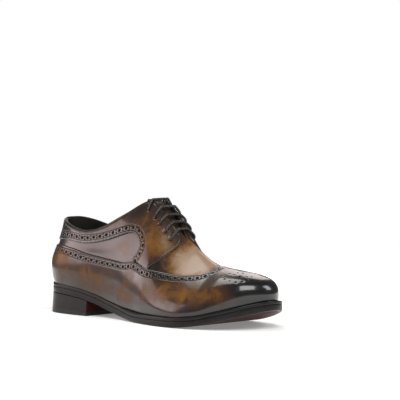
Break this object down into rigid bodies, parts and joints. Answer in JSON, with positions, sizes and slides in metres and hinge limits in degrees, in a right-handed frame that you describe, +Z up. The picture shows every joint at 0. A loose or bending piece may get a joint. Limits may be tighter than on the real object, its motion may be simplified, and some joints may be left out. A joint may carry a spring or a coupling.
{
  "type": "longwing brogue",
  "caption": "Lace-up longwing brogue derby in burnished brown leather with a welted black-edged sole and a block heel, standing empty on its sole.",
  "frame": {"origin": "bottom centre of the shoe's bounding box, on the floor it stands on", "axes": "+X from heel to toe, +Y from the lateral to the medial side, +Z up"},
  "size_m": [0.3048, 0.1054, 0.1245],
  "materials": {
    "upper": "polished, patinated",
    "wing": "polished, patinated",
    "facing": "polished, patinated",
    "tongue": "polished",
    "laces": "waxed",
    "insole": "matt",
    "welt": "waxed edge",
    "outsole": "stained, waxed edge",
    "heel": "waxed edge"
  },
  "bodies": {
    "root": {"upper": "upper", "wing": "wing", "facing_lateral": "facing", "facing_medial": "facing", "tongue": "tongue", "laces": "laces", "insole": "insole", "welt": "welt", "outsole": "outsole", "heel": "heel"}
  },
  "joints": []
}
